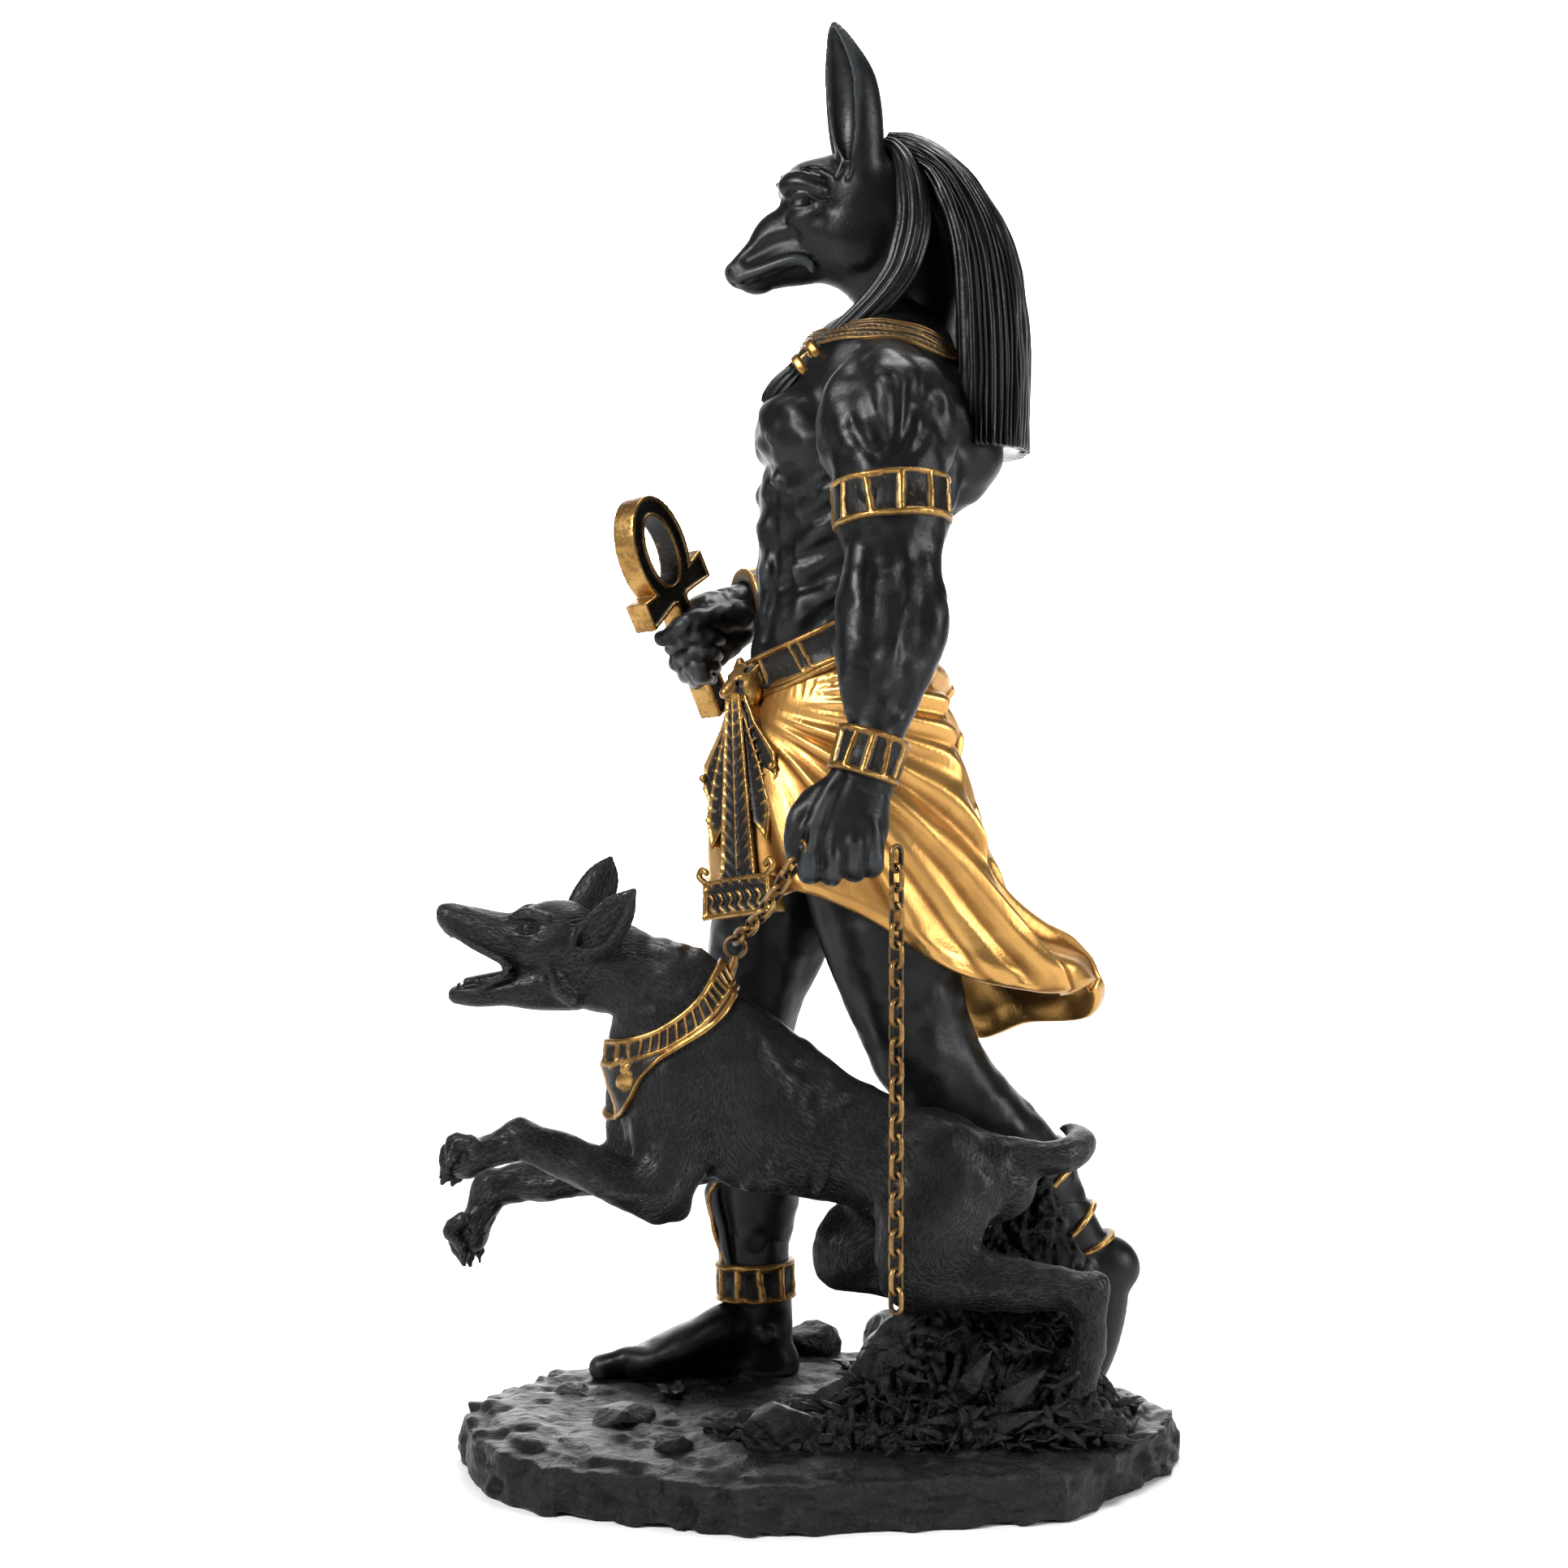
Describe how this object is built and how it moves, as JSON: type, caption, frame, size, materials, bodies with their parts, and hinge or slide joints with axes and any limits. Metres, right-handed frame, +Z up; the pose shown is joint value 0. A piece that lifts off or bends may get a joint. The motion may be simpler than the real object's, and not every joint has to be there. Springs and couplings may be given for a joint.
{
  "type": "jackal-god statuette",
  "caption": "Cast resin statuette of a striding jackal-headed god holding an ankh and a chained jackal at full stretch, on a rough rock base that stands flat.",
  "frame": {"origin": "on the flat underside of the base, below the line between the god and the jackal", "axes": "+Z up; the god walks and looks along -X, and the jackal runs on his left, the -Y side"},
  "size_m": [0.1525, 0.1236, 0.2996],
  "materials": {
    "black_resin": "satin black paint on cast resin",
    "fur_resin": "matte charcoal paint over carved fur",
    "ground_resin": "matte charcoal paint, edges rubbed lighter",
    "gold_paint": "satin gold paint on cast resin",
    "antique_gold": "gold paint rubbed over black",
    "chain_metal": "antiqued chain"
  },
  "bodies": {
    "root": {"rock_base": "ground_resin", "striding_god": "black_resin", "jackal": "fur_resin", "ankh": "antique_gold", "leash_chain": "chain_metal", "hanging_chain": "chain_metal"}
  },
  "joints": []
}
